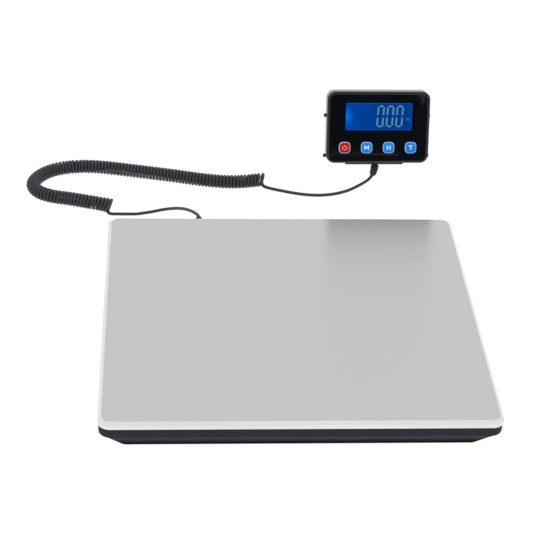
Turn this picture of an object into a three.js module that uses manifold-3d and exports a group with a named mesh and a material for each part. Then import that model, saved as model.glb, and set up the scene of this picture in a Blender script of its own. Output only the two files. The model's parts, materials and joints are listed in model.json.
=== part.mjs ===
// Platform shipping scale: a low weighing platform on four load cells, and a separate
// display head that stands behind it, tied to the platform by a curly cord.
// Millimetres. +X to the right, +Y away from the user, +Z up.
import * as THREE from 'three';
import { mergeVertices } from 'three/addons/utils/BufferGeometryUtils.js';
import Module from 'manifold-3d';

const wasm = await Module();
wasm.setup();

// ---------------------------------------------------------------- driving dimensions
const GAP = 0.3; // clearance between neighbouring pieces
const ARC_STEPS = 4; // facets in each large rounded corner
const CURVE_STEPS = 2; // half the facets in a quarter round of a small outline
const SIDES = 16; // facets round a small cylinder

// platform
const TRAY_W = 302.5;
const TRAY_D = 280;
const TRAY_TOP = 40;
const TRAY_SHEET = 1.2;
const TRAY_CHAMFER = 2.5;
const TRAY_SKIRT = 3.2;
const TRAY_RADIUS = 9.5;
const RIM_INSET = 0.5; // base rim behind the tray's skirt
const RIM_GAP = 0.6; // shadow gap under the skirt
const RIM_HEIGHT = 7.3;
const BASE_BOTTOM = 6;
const BASE_TAPER = 16.5; // how far the lower edge is set in
const BASE_LOW_RADIUS = 4;
const BASE_WALL = 3;
const FLOOR_TOP = BASE_BOTTOM + BASE_WALL;
const RIB_TOP = 16;

// load cells, their seats and the feet
const CELL_X = 98;
const CELL_Y = 88;
const CELL_SIZE = 34;
const CELL_SHEET = 2;
const CELL_Z = 12.3;
const SEAT_SIZE = 44;
const SEAT_TOP = 15;
const FOOT_RADIUS = 15;
const STEM_RADIUS = 4.5;

// deck under the tray
const DECK_W = 286;
const DECK_D = 264;
const DECK_Z = 32.7;
const DECK_SHEET = 3;
const DECK_RIB = 5.7;
const COLUMN_X = 68;
const COLUMN_Y = 118;
const COLUMN_RADIUS = 5;
const PAD_X = 105;
const PAD_Y = 95;
const PAD_RADIUS = 12;

// junction board and the cord's exit at the back of the base
const JUNCTION = { x: -40, y: 98, z: 13, w: 46, d: 26, sheet: 1.6 };
const EXIT_X = -72;
const EXIT_Z = 30.1;
const EXIT_LENGTH = 14;

// display head, drawn in its own frame: x across, y depth behind the face, z up the face
const HEAD_X = 103.85;
const HEAD_Y = 282.2;
const HEAD_Z = 12; // front lower edge above the surface
const HEAD_TILT = THREE.MathUtils.degToRad(19);
const HEAD_YAW = THREE.MathUtils.degToRad(0.8);
const HEAD_W = 100;
const HEAD_H = 70;
const HEAD_RADIUS = 8;
const HEAD_WALL = 2;
const SEAM = 8; // depth of the joint between the two housings
const HEAD_DEPTH = 15;
const BOX_DEPTH = 27; // depth at the back of the battery box
const BOX_W = 57;
const BOX_LOW = 3;
const BOX_HIGH = 66;
const PANEL = { w: 94, h: 64.4, z: 34.5, radius: 5, front: 0.2, back: 1.2 };
const WINDOW = { x: 0.4, z: 45.6, w: 64.4, h: 26.6 };
const KEY_SIZE = 11.1;
const KEY_RADIUS = 3.6;
const KEY_Z = 15.3;
const KEY_PITCH = 21.5;
const KEY_TRAVEL = 0.8;
const SCREW_X = 43;
const SCREW_Z = [8, 62];
const CELL_RADIUS = 5.25; // AAA battery
const BATTERY_LENGTH = 44.5;
const BATTERY_PITCH = 11.1;
const BAY = { low: 30.5, high: 64, half: 26.9, front: 14 };
const PIN_Z = 27;
const PIN_DEPTH = 29.9;
const PIN_RADIUS = 1.25;
const LEG_W = 50;
const LEG_LENGTH = 28.5;
const LEG_SHEET = 2.5;
const LEG_OPEN = THREE.MathUtils.degToRad(35);
const BOOT_X = -2;

// curly cord
const CORD_RADIUS = 1.5;
const COIL_RADIUS = 6.7;

// ---------------------------------------------------------------- materials
function finish(color, roughness, metalness = 0) {
  return new THREE.MeshStandardMaterial({ color, roughness, metalness });
}

const steel = () => finish(0xc4c5c6, 0.35, 1);
const blackPlastic = () => finish(0x31343b, 0.6);
const rubber = () => finish(0x1c1d20, 0.8);
const circuit = () => finish(0x1f5a34, 0.5);
const screwSteel = () => finish(0x9a9da2, 0.3, 1);

// ---------------------------------------------------------------- solids and shapes
function solidOf(geometry) {
  const plain = geometry.clone();
  plain.deleteAttribute('normal');
  plain.deleteAttribute('uv');
  const merged = mergeVertices(plain, 1e-4);
  const vertProperties = new Float32Array(merged.attributes.position.array);
  const triVerts = new Uint32Array(merged.index.array);
  return new wasm.Manifold(new wasm.Mesh({ numProp: 3, vertProperties, triVerts }));
}

function geometryOf(solid) {
  const mesh = solid.getMesh();
  const geometry = new THREE.BufferGeometry();
  geometry.setAttribute('position', new THREE.BufferAttribute(mesh.vertProperties, 3));
  geometry.setIndex(new THREE.BufferAttribute(mesh.triVerts, 1));
  geometry.computeVertexNormals();
  return geometry;
}

function join(...geometries) {
  return geometryOf(geometries.map(solidOf).reduce((sum, next) => sum.add(next)));
}

function cut(geometry, ...tools) {
  return geometryOf(tools.map(solidOf).reduce((rest, tool) => rest.subtract(tool), solidOf(geometry)));
}

function box([x0, x1], [y0, y1], [z0, z1]) {
  const geometry = new THREE.BoxGeometry(x1 - x0, y1 - y0, z1 - z0);
  return geometry.translate((x0 + x1) / 2, (y0 + y1) / 2, (z0 + z1) / 2);
}

function roundedShape(w, h, radius) {
  const x = w / 2 - radius;
  const y = h / 2 - radius;
  const shape = new THREE.Shape();
  shape.absarc(x, y, radius, 0, Math.PI / 2);
  shape.absarc(-x, y, radius, Math.PI / 2, Math.PI);
  shape.absarc(-x, -y, radius, Math.PI, 1.5 * Math.PI);
  shape.absarc(x, -y, radius, 1.5 * Math.PI, 2 * Math.PI);
  return shape;
}

// an upright plate between two heights
function plate(shape, z0, z1, curveSegments = CURVE_STEPS) {
  const options = { depth: z1 - z0, bevelEnabled: false, curveSegments };
  return new THREE.ExtrudeGeometry(shape, options).translate(0, 0, z0);
}

// the same outline standing upright in the head, between two depths
function slab(shape, y0, y1) {
  return plate(shape, 0, y1 - y0).rotateX(Math.PI / 2).translate(0, y1, 0);
}

// a rounded rectangle in the head, centred on x and z
function panelSlab(x, z, w, h, radius, y0, y1) {
  return slab(roundedShape(w, h, radius), y0, y1).translate(x, 0, z);
}

function turned(profile, sides = SIDES) {
  return new THREE.LatheGeometry(profile.map(([r, y]) => new THREE.Vector2(r, y)), sides);
}

// a turned piece whose axis stands upright at (x, y)
function upright(profile, x, y, sides = SIDES) {
  return turned(profile, sides).rotateX(Math.PI / 2).translate(x, y, 0);
}

function rod(radius, from, to) {
  return [[0, from], [radius, from], [radius, to], [0, to]];
}

// a closed skin through rings of equally many points
function loft(rings) {
  const count = rings[0].length;
  const points = rings.flat();
  const index = [];
  for (let ring = 0; ring < rings.length - 1; ring += 1) {
    for (let k = 0; k < count; k += 1) {
      const a = ring * count + k;
      const b = ring * count + ((k + 1) % count);
      index.push(a, b, b + count, a, b + count, a + count);
    }
  }
  const last = points.length - count;
  for (let k = 1; k < count - 1; k += 1) {
    index.push(0, k + 1, k, last, last + k, last + k + 1);
  }
  const geometry = new THREE.BufferGeometry().setFromPoints(points);
  geometry.setIndex(index);
  geometry.computeVertexNormals();
  return geometry;
}

function ringAt(w, d, radius, z) {
  const outline = [];
  for (let corner = 0; corner < 4; corner += 1) {
    const sx = corner === 0 || corner === 3 ? 1 : -1;
    const sy = corner < 2 ? 1 : -1;
    for (let k = 0; k <= ARC_STEPS; k += 1) {
      const angle = ((corner + k / ARC_STEPS) * Math.PI) / 2;
      const x = sx * (w / 2 - radius) + radius * Math.cos(angle);
      const y = sy * (d / 2 - radius) + radius * Math.sin(angle);
      outline.push(new THREE.Vector3(x, y, z));
    }
  }
  return outline;
}

// a tube of one radius along a curve through the points
function tube(points, radius, steps, sides) {
  const section = new THREE.Shape();
  for (let k = 0; k < sides; k += 1) {
    const angle = ((k + 0.5) * 2 * Math.PI) / sides;
    const corner = [radius * Math.cos(angle), radius * Math.sin(angle)];
    if (k === 0) section.moveTo(...corner);
    else section.lineTo(...corner);
  }
  section.closePath();
  const extrudePath = new THREE.CatmullRomCurve3(points.map((p) => new THREE.Vector3(...p)));
  return new THREE.ExtrudeGeometry(section, { steps, extrudePath, bevelEnabled: false });
}

function add(group, name, geometry, material) {
  const mesh = new THREE.Mesh(geometry, material);
  mesh.name = name;
  group.add(mesh);
  return mesh;
}

const CORNERS = [
  { name: 'front_left', sx: -1, sy: -1 },
  { name: 'front_right', sx: 1, sy: -1 },
  { name: 'rear_left', sx: -1, sy: 1 },
  { name: 'rear_right', sx: 1, sy: 1 },
];

// ---------------------------------------------------------------- platform
const RIM_TOP = TRAY_TOP - TRAY_CHAMFER - TRAY_SKIRT - RIM_GAP;
const RIM_LOW = RIM_TOP - RIM_HEIGHT;

function baseRing(inset, radius, z) {
  const set = 2 * (RIM_INSET + inset);
  return ringAt(TRAY_W - set, TRAY_D - set, radius, z);
}

function baseHousing() {
  const tub = loft([
    baseRing(BASE_TAPER, BASE_LOW_RADIUS, BASE_BOTTOM),
    baseRing(0, TRAY_RADIUS, RIM_LOW),
    baseRing(0, TRAY_RADIUS, RIM_TOP),
    baseRing(BASE_WALL, TRAY_RADIUS - BASE_WALL, RIM_TOP),
    baseRing(BASE_WALL, TRAY_RADIUS - BASE_WALL, RIM_LOW + 0.5),
    baseRing(BASE_TAPER + 1, BASE_LOW_RADIUS - 1, FLOOR_TOP),
  ]);
  const added = [tub];
  const ribZ = [FLOOR_TOP - 0.5, RIB_TOP];
  for (const x of [-40, 0, 40]) added.push(box([x - 1, x + 1], [-70, 70], ribZ));
  for (const y of [-50, 0, 50]) added.push(box([-58, 58], [y - 1, y + 1], ribZ));
  const holes = [];
  for (const { sx, sy } of CORNERS) {
    const x = sx * COLUMN_X;
    const y = sy * COLUMN_Y;
    added.push(upright(rod(COLUMN_RADIUS, FLOOR_TOP - 0.5, DECK_Z - GAP), x, y));
    holes.push(upright(rod(1.8, DECK_Z - 14, DECK_Z + 1), x, y, 12));
    holes.push(upright(rod(STEM_RADIUS + 2, BASE_BOTTOM - 1, FLOOR_TOP + 1), sx * CELL_X, sy * CELL_Y));
  }
  for (const side of [-1, 1]) {
    const x = JUNCTION.x + side * 18;
    const y = JUNCTION.y + side * 8;
    added.push(upright(rod(2.5, FLOOR_TOP - 0.5, JUNCTION.z - GAP), x, y, 12));
  }
  const cordHole = turned(rod(2.9, TRAY_D / 2 - 8, TRAY_D / 2 + 1)).translate(EXIT_X, 0, EXIT_Z);
  return cut(join(...added), ...holes, cordHole);
}

function weighingTray() {
  const inner = TRAY_SHEET;
  const skirtLow = TRAY_TOP - TRAY_CHAMFER - TRAY_SKIRT;
  const skirtHigh = TRAY_TOP - TRAY_CHAMFER;
  const flat = TRAY_CHAMFER;
  const ring = (inset, z) => {
    const radius = TRAY_RADIUS - inset;
    return ringAt(TRAY_W - 2 * inset, TRAY_D - 2 * inset, radius, z);
  };
  return loft([
    ring(inner + flat, TRAY_TOP - inner),
    ring(inner, skirtHigh - 0.5),
    ring(inner, skirtLow),
    ring(0, skirtLow),
    ring(0, skirtHigh),
    ring(flat, TRAY_TOP),
  ]);
}

function deckPlate() {
  const outline = roundedShape(DECK_W, DECK_D, 6);
  const parts = [plate(outline, DECK_Z, DECK_Z + DECK_SHEET)];
  const ribZ = [DECK_Z - DECK_RIB, DECK_Z + 1];
  for (const x of [-90, -30, 30, 90]) parts.push(box([x - 1.5, x + 1.5], [-100, 100], ribZ));
  for (const y of [-80, 0, 80]) parts.push(box([-125, 125], [y - 1.5, y + 1.5], ribZ));
  const screwHole = rod(1.9, DECK_Z - 1, DECK_Z + DECK_SHEET + 1);
  const holes = CORNERS.map(({ sx, sy }) => upright(screwHole, sx * COLUMN_X, sy * COLUMN_Y, 12));
  return cut(join(...parts), ...holes);
}

function deckScrew() {
  const tip = DECK_Z - 12;
  const head = DECK_Z + DECK_SHEET + GAP;
  const profile = [[0, tip], [1.5, tip], [1.5, head], [3.2, head], [2.6, head + 2], [0, head + 2]];
  return upright(profile, 0, 0, 12);
}

// half-bridge load cell: a steel square whose centre tongue is cut free on three sides
function loadCell() {
  const outline = roundedShape(CELL_SIZE, CELL_SIZE, 2);
  const slot = [
    [-10.5, 9], [-10.5, -10.5], [10.5, -10.5], [10.5, 9], [7, 9], [7, -7], [-7, -7], [-7, 9],
  ];
  outline.holes.push(new THREE.Path(slot.map((p) => new THREE.Vector2(...p))));
  return plate(outline, CELL_Z, CELL_Z + CELL_SHEET);
}

function cellSeat(side) {
  const half = SEAT_SIZE / 2;
  const pocket = CELL_SIZE / 2 + GAP;
  const block = plate(roundedShape(SEAT_SIZE, SEAT_SIZE, 3), FLOOR_TOP + GAP, SEAT_TOP);
  const opening = box([-13, 13], [-13, 13], [FLOOR_TOP - 1, SEAT_TOP + 1]);
  const recess = box([-pocket, pocket], [-pocket, pocket], [CELL_Z - GAP, SEAT_TOP + 1]);
  const low = Math.min(side * pocket - side, side * half + side);
  const high = Math.max(side * pocket - side, side * half + side);
  const notch = box([low, high], [-3.5, 3.5], [CELL_Z - 1.2, SEAT_TOP + 1]);
  return cut(block, opening, recess, notch);
}

function foot() {
  const top = BASE_BOTTOM - 0.6;
  const stem = CELL_Z - GAP;
  const disc = [[0, 0], [FOOT_RADIUS - 1, 0], [FOOT_RADIUS, 1], [FOOT_RADIUS, 3], [FOOT_RADIUS - 2, top]];
  return upright([...disc, [STEM_RADIUS, top], [STEM_RADIUS, stem], [0, stem]], 0, 0, 20);
}

function junctionBoard() {
  const { x, y, z, w, d, sheet } = JUNCTION;
  const top = z + sheet;
  return join(
    box([x - w / 2, x + w / 2], [y - d / 2, y + d / 2], [z, top]),
    box([x - 21.5, x - 16], [y - 11.5, y - 1], [top - 0.5, top + 4.8]),
    box([x + 16, x + 21.4], [y - 11.5, y + 3], [top - 0.5, top + 4.8]),
    box([x - 14, x - 6], [y + 7, y + 12.7], [top - 0.5, top + 4.8]),
    box([x - 5, x + 5], [y - 7, y + 1], [top - 0.5, top + 1.6]),
  );
}

// from each load cell along the floor to the junction board
const CELL_LEADS = {
  front_left: [
    [-80.5, -88, 13.4], [-74.5, -88, 13.4], [-70.6, -82, 11.5], [-70, -60, 10.8], [-70, 0, 10.8],
    [-70, 55, 10.8], [-69, 75, 12], [-67, 84, 15.4], [-62.6, 88, 17],
  ],
  front_right: [
    [80.5, -88, 13.4], [74.5, -88, 13.4], [70.6, -82, 11.5], [70, -60, 10.8], [70, 0, 10.8],
    [70, 50, 10.8], [62, 74, 10.8], [40, 81, 10.8], [10, 85, 11.2], [-8, 88, 14.4], [-17.8, 89, 17],
  ],
  rear_left: [[-80.5, 88, 13.4], [-75, 89, 14], [-68, 93.5, 16.4], [-62.4, 95, 17]],
  rear_right: [
    [80.5, 88, 13.4], [75, 88.5, 13.4], [66, 92, 11.5], [50, 95, 10.8], [15, 97, 11],
    [-7, 98, 14.4], [-17.8, 98, 17],
  ],
};

function cellLead(corner) {
  const points = CELL_LEADS[corner];
  return tube(points, 1, 2 * points.length, 6);
}

// strain relief through the rear rim, ribbed and tapering outwards
function baseStrainRelief() {
  const wall = TRAY_D / 2 - RIM_INSET;
  const inside = wall - BASE_WALL - GAP;
  const outside = wall + GAP;
  const end = wall + EXIT_LENGTH;
  const flange = inside - 2.7;
  const profile = [[0, flange], [3.3, flange], [3.3, inside], [2.5, inside]];
  profile.push([2.5, outside], [3.3, outside]);
  const ribs = 4;
  const pitch = (end - outside - 2) / ribs;
  for (let k = 0; k < ribs; k += 1) {
    const y = outside + 2 + k * pitch;
    const r = 3.2 - 0.14 * k;
    profile.push([r, y], [r - 0.6, y + 0.3 * pitch], [r - 0.6, y + 0.7 * pitch]);
  }
  profile.push([2.5, end], [0, end]);
  return turned(profile, 10).translate(EXIT_X, 0, EXIT_Z);
}

function cableTail() {
  const inside = TRAY_D / 2 - RIM_INSET - BASE_WALL - 2.7 - 2 * GAP;
  return tube([
    [EXIT_X, inside - 0.3, EXIT_Z], [EXIT_X + 0.6, inside - 4, EXIT_Z - 0.6],
    [-60, 122, 24.5], [-52, 116, 19], [-50, 111.6, 17.4],
  ], CORD_RADIUS, 10, 8);
}

function trayPad() {
  return upright(rod(PAD_RADIUS, DECK_Z + DECK_SHEET + GAP, TRAY_TOP - TRAY_SHEET - GAP), 0, 0);
}

// everything that repeats in each corner of the platform
function addCorner(platform, { name, sx, sy }) {
  const place = (part, geometry, material, x, y) => {
    add(platform, `${part}_${name}`, geometry, material).position.set(sx * x, sy * y, 0);
  };
  place('load_cell', loadCell(), screwSteel(), CELL_X, CELL_Y);
  place('load_cell_seat', cellSeat(-sx), blackPlastic(), CELL_X, CELL_Y);
  place('foot', foot(), rubber(), CELL_X, CELL_Y);
  place('deck_screw', deckScrew(), screwSteel(), COLUMN_X, COLUMN_Y);
  place('tray_pad', trayPad(), rubber(), PAD_X, PAD_Y);
  place('load_cell_lead', cellLead(name), finish(0xb9b4a8, 0.6), 0, 0);
}

function makePlatform() {
  const platform = new THREE.Group();
  add(platform, 'base_housing', baseHousing(), blackPlastic());
  add(platform, 'deck_plate', deckPlate(), steel());
  CORNERS.forEach((corner) => addCorner(platform, corner));
  add(platform, 'junction_board', junctionBoard(), circuit());
  add(platform, 'base_strain_relief', baseStrainRelief(), rubber());
  add(platform, 'cable_tail', cableTail(), rubber());
  add(platform, 'weighing_tray', weighingTray(), steel());
  return platform;
}

// ---------------------------------------------------------------- display head
const KEYS = ['power', 'mode', 'hold', 'tare'];
const SCREWS = [-1, 1].flatMap((side) => SCREW_Z.map((z) => ({ x: side * SCREW_X, z })));
const BOOT_Y = SEAM + GAP / 2;
const BOOT_HOLE = 2.7;
const FRONT_WALL = 3.1; // depth of the back of the front housing's face
const DOME_TOP = 5.5; // depth of the keypad's rubber domes
const BATTERY_DEPTH = 19.6;
const BAY_MIDDLE = (BAY.low + BAY.high) / 2;

const keyX = (k) => (k - 1.5) * KEY_PITCH;
const batteryZ = (k) => BAY_MIDDLE + (k - 1) * BATTERY_PITCH;
const ordered = (a, b) => [Math.min(a, b), Math.max(a, b)];

// a ring of the head's outline set in by some amount, at one depth
function headRing(inset, y) {
  const ring = ringAt(HEAD_W - 2 * inset, HEAD_H - 2 * inset, HEAD_RADIUS - inset, 0);
  return ring.map((p) => new THREE.Vector3(p.x, y, p.y + HEAD_H / 2)).reverse();
}

function headCavity(y0, y1) {
  const w = HEAD_W - 2 * HEAD_WALL;
  const h = HEAD_H - 2 * HEAD_WALL;
  return panelSlab(0, HEAD_H / 2, w, h, HEAD_RADIUS - HEAD_WALL, y0, y1);
}

// a cylinder along the head's depth at each screw
function bosses(radius, y0, y1) {
  return SCREWS.map(({ x, z }) => turned(rod(radius, y0, y1), 12).translate(x, 0, z));
}

function bootHole() {
  return upright(rod(BOOT_HOLE, -8, 3.6), BOOT_X, BOOT_Y, 12);
}

function keyHoles(y0, y1) {
  const size = KEY_SIZE + 0.7;
  return KEYS.map((_, k) => panelSlab(keyX(k), KEY_Z, size, size, KEY_RADIUS, y0, y1));
}

function windowSlab(w, h, radius, y0, y1) {
  return panelSlab(WINDOW.x, WINDOW.z, w, h, radius, y0, y1);
}

function frontHousing() {
  const shell = loft([headRing(1, 0), headRing(0, 1.2), headRing(0, SEAM)]);
  const { z, w, h, radius, back } = PANEL;
  const hollow = cut(
    shell,
    panelSlab(0, z, w + 2 * GAP, h + 2 * GAP, radius, -1, back + GAP),
    headCavity(FRONT_WALL, SEAM + 1),
    windowSlab(71, 32.8, 1, 0, FRONT_WALL + 1),
    ...keyHoles(0, FRONT_WALL + 1),
    bootHole(),
  );
  return cut(join(hollow, ...bosses(3.2, FRONT_WALL - 0.5, SEAM)), ...bosses(1.5, 4.2, SEAM + 1));
}

// foot rail under the battery box, cut flat where it stands on the surface
function footRail() {
  const slope = Math.tan(HEAD_TILT);
  const ground = (y) => y * slope - HEAD_Z / Math.cos(HEAD_TILT);
  const y0 = 20.8;
  const y1 = BOX_DEPTH;
  const top = BOX_LOW + 2;
  const outline = [[y0, ground(y0)], [y1, ground(y1)], [y1, top], [y0, top]];
  const shape = new THREE.Shape(outline.map(([y, z]) => new THREE.Vector2(y, z)));
  return acrossX(shape, BOX_W);
}

// an outline drawn in depth and height, extruded across the head
function acrossX(shape, width) {
  const turn = new THREE.Matrix4().set(0, 0, 1, 0, 1, 0, 0, 0, 0, 1, 0, 0, 0, 0, 0, 1);
  return plate(shape, -width / 2, width / 2, SIDES / 2).applyMatrix4(turn);
}

function hingeEar(side) {
  const shape = new THREE.Shape();
  shape.moveTo(BOX_DEPTH - 1, PIN_Z - 4);
  shape.lineTo(PIN_DEPTH, PIN_Z - 3.2);
  shape.absarc(PIN_DEPTH, PIN_Z, 3.2, -Math.PI / 2, Math.PI / 2);
  shape.lineTo(BOX_DEPTH - 1, PIN_Z + 3.2);
  const hole = new THREE.Path();
  hole.absarc(PIN_DEPTH, PIN_Z, PIN_RADIUS + 0.35, 0, 2 * Math.PI, true);
  shape.holes.push(hole);
  const x = side * (LEG_W / 2 + GAP + 1.5);
  return acrossX(shape, 3).translate(x, 0, 0);
}

// small lugs at the two sides of the head that hook onto a wall bracket
function sideLugs() {
  const lug = (side, low) => {
    const across = ordered(side * (HEAD_W / 2 - 1), side * (HEAD_W / 2 + 2));
    return box(across, [9.5, 13], [low, low + 3.2]);
  };
  return [-1, 1].flatMap((side) => [4, 43.6].map((low) => lug(side, low)));
}

function rearShell() {
  const outer = loft([
    headRing(0, SEAM + GAP),
    headRing(0, HEAD_DEPTH - 0.8),
    headRing(0.8, HEAD_DEPTH),
  ]);
  const middle = (BOX_HIGH + BOX_LOW) / 2;
  const batteryBox = panelSlab(0, middle, BOX_W, BOX_HIGH - BOX_LOW, 3, HEAD_DEPTH - 1, BOX_DEPTH);
  return cut(
    join(outer, batteryBox, footRail(), ...sideLugs(), hingeEar(-1), hingeEar(1)),
    headCavity(SEAM - 1, HEAD_DEPTH - 1.6),
    box([-27, 27], [HEAD_DEPTH - 3, BOX_DEPTH - 1.8], [BOX_LOW + 2, 28.9]),
  );
}

function rearHousing() {
  const bayFloor = box([-28, 28], [BAY.front - 1.4, BAY.front + 0.2], [29, 65.5]);
  const across = [-BAY.half, BAY.half];
  return cut(
    join(rearShell(), bayFloor, ...bosses(3.2, SEAM + GAP, HEAD_DEPTH - 1)),
    box(across, [BAY.front, BOX_DEPTH + 1], [BAY.low, BAY.high]),
    box(across, [BOX_DEPTH - 1.8, BOX_DEPTH + 1], [BAY.low, BOX_HIGH + 1]),
    ...bosses(1.5, SEAM - 1, HEAD_DEPTH),
    ...bosses(2.9, HEAD_DEPTH - 2, HEAD_DEPTH + 1),
    bootHole(),
  );
}

function panelOverlay() {
  const { z, w, h, radius, front, back } = PANEL;
  const sheet = panelSlab(0, z, w, h, radius - GAP, front, back);
  return cut(sheet, windowSlab(WINDOW.w, WINDOW.h, 0.8, -1, 3), ...keyHoles(-1, 3));
}

function lcdWindow() {
  return windowSlab(WINDOW.w - 2 * GAP, WINDOW.h - 2 * GAP, 0.5, PANEL.front, PANEL.back);
}

function keyCap(k) {
  const flange = KEY_SIZE + 1.9;
  const back = DOME_TOP - KEY_TRAVEL - GAP;
  return join(
    panelSlab(keyX(k), KEY_Z, KEY_SIZE, KEY_SIZE, KEY_RADIUS, -0.6, back - 0.7),
    panelSlab(keyX(k), KEY_Z, flange, flange, KEY_RADIUS + 0.9, back - 0.8, back),
  );
}

function keypadMat() {
  const dome = [[0, DOME_TOP], [3, DOME_TOP], [4, DOME_TOP + 0.6], [0, DOME_TOP + 0.6]];
  const domes = KEYS.map((_, k) => turned(dome, 12).translate(keyX(k), 0, KEY_Z));
  return join(box([-38, 38], [DOME_TOP + 0.4, DOME_TOP + 0.8], [8.5, 22]), ...domes);
}

function mainBoard() {
  return join(
    box([-38, 38], [6.6, 8.2], [5.8, 64.5]),
    box([10, 24], [8, 9.7], [36, 50]),
    box([-6, 2], [8, 12], [8, 12.5]),
    box([-22, -12], [8, 10.5], [20, 24]),
  );
}

// AAA cells lying across the bay, every other one turned round
function battery(k) {
  const half = BATTERY_LENGTH / 2;
  const neck = half - 1.2;
  const can = [[0, -half], [CELL_RADIUS, -half], [CELL_RADIUS, neck]];
  const flip = k % 2 ? 1 : -1;
  return turned([...can, [1.9, neck], [1.9, half], [0, half]])
    .rotateZ((flip * Math.PI) / 2)
    .translate(0, BATTERY_DEPTH, batteryZ(k));
}

// a sheet at one end of the bay with a cone for each battery
function batteryContact(side) {
  const outer = BAY.half - GAP;
  const across = ordered(side * (outer - 0.6), side * outer);
  const sheet = box(across, [15, 24.4], [BAY.low + 0.6, BAY.high - 0.6]);
  const tip = BATTERY_LENGTH / 2 + GAP;
  const cone = [[0, tip], [1.6, tip], [3.4, outer - 0.3], [0, outer - 0.3]];
  const cones = [0, 1, 2].map((k) => turned(cone, 12)
    .rotateZ((-side * Math.PI) / 2)
    .translate(0, BATTERY_DEPTH, batteryZ(k)));
  return join(sheet, ...cones);
}

function batteryDoor() {
  const half = BAY.half - GAP;
  const door = box([-half, half], [BOX_DEPTH - 1.5, BOX_DEPTH], [BAY.low + GAP, BOX_HIGH]);
  const grip = (low) => box([-7, 7], [BOX_DEPTH - 0.6, BOX_DEPTH + 1], [low, low + 1.2]);
  return cut(door, ...[56, 58.4, 60.8].map(grip));
}

// the leg hangs from its pin; its own frame has the pin's axis as x
function kickstand() {
  const half = LEG_SHEET / 2;
  const knuckle = 2.6;
  const meet = Math.asin(half / knuckle);
  const shape = new THREE.Shape();
  shape.moveTo(-half, -LEG_LENGTH);
  shape.lineTo(half, -LEG_LENGTH);
  shape.absarc(0, 0, knuckle, meet - Math.PI / 2, 1.5 * Math.PI - meet);
  const hole = new THREE.Path();
  hole.absarc(0, 0, PIN_RADIUS + 0.35, 0, 2 * Math.PI, true);
  shape.holes.push(hole);
  return acrossX(shape, LEG_W);
}

function housingScrew({ x, z }) {
  const low = HEAD_DEPTH - 1.7;
  const high = low + 1.6;
  const shank = [[0, 4.6], [1.1, 4.6], [1.1, low]];
  return turned([...shank, [2.5, low], [2.5, low + 1], [1.8, high], [0, high]], 12).translate(x, 0, z);
}

// ribbed boot that leaves the lower edge and bends forward onto the surface
const BOOT_BEND = [
  [BOOT_X, BOOT_Y, -1.4], [-2.2, 7.3, -4.7], [-2.9, 4.8, -7.1], [-4, 1, -9.1], [-5.2, -2.7, -10.6],
];

function displayBoot() {
  const bend = new THREE.CatmullRomCurve3(BOOT_BEND.map((p) => new THREE.Vector3(...p)));
  const down = new THREE.Vector3(0, 0, -1);
  const collar = [[3.6, 3.6], [3.6, 2.3], [2.4, 2.3], [2.4, -GAP], [3.6, -GAP]];
  const loops = collar.map(([radius, z]) => circleRing(new THREE.Vector3(BOOT_X, BOOT_Y, z), down, radius));
  const ribs = 5;
  for (let k = 0; k < ribs; k += 1) {
    for (const [share, drop] of [[0, 0], [0.45, 0], [0.55, 0.45], [0.9, 0.45]]) {
      const t = (k + share) / ribs;
      loops.push(circleRing(bend.getPoint(t), bend.getTangent(t), 3.6 - 1.1 * t - drop));
    }
  }
  loops.push(circleRing(bend.getPoint(1), bend.getTangent(1), 2.1));
  return loft(loops);
}

function circleRing(centre, tangent, radius) {
  const across = new THREE.Vector3(1, 0, 0).addScaledVector(tangent, -tangent.x).normalize();
  const up = new THREE.Vector3().crossVectors(tangent, across);
  const ring = [];
  for (let k = 0; k < 10; k += 1) {
    const angle = (k * 2 * Math.PI) / 10;
    const point = centre.clone().addScaledVector(across, radius * Math.cos(angle));
    ring.push(point.addScaledVector(up, radius * Math.sin(angle)));
  }
  return ring;
}

function addHousings(head) {
  add(head, 'front_housing', frontHousing(), blackPlastic());
  add(head, 'rear_housing', rearHousing(), blackPlastic());
  SCREWS.forEach((screw, k) => add(head, `housing_screw_${k + 1}`, housingScrew(screw), screwSteel()));
  add(head, 'display_strain_relief', displayBoot(), rubber());
}

function addPanel(head) {
  add(head, 'panel_overlay', panelOverlay(), finish(0x0b0e13, 0.1));
  add(head, 'lcd_window', lcdWindow(), finish(0x1050a0, 0.05));
  add(head, 'lcd_module', windowSlab(70.4, 32.2, 0.5, 1.5, 3.9), finish(0x0a50c0, 0.2));
  add(head, 'lcd_backlight', windowSlab(68, 30, 1, 4.2, 6.2), finish(0xe8ecf0, 0.4));
  add(head, 'keypad_mat', keypadMat(), finish(0x8a8d90, 0.7));
  add(head, 'main_board', mainBoard(), circuit());
  KEYS.forEach((name, k) => add(head, `key_${name}`, keyCap(k), finish(k ? 0x1478dc : 0xb41812, 0.35)));
}

function addBatteries(head) {
  for (let k = 0; k < 3; k += 1) {
    add(head, `battery_${k + 1}`, battery(k), finish(0x4a5058, 0.4, 0.6));
  }
  add(head, 'battery_contact_left', batteryContact(-1), screwSteel());
  add(head, 'battery_contact_right', batteryContact(1), screwSteel());
  add(head, 'battery_door', batteryDoor(), blackPlastic());
}

function addKickstand(head) {
  const pin = turned(rod(PIN_RADIUS, -LEG_W / 2 - 3, LEG_W / 2 + 3)).rotateZ(Math.PI / 2);
  add(head, 'kickstand_pin', pin, screwSteel()).position.set(0, PIN_DEPTH, PIN_Z);
  const leg = add(head, 'kickstand', kickstand(), blackPlastic());
  leg.position.set(0, PIN_DEPTH, PIN_Z);
  leg.rotation.x = LEG_OPEN;
}

function makeHead() {
  const head = new THREE.Group();
  head.position.set(HEAD_X, HEAD_Y, HEAD_Z);
  head.rotation.order = 'ZYX';
  head.rotation.set(-HEAD_TILT, 0, HEAD_YAW);
  addHousings(head);
  addPanel(head);
  addBatteries(head);
  addKickstand(head);
  return head;
}

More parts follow.
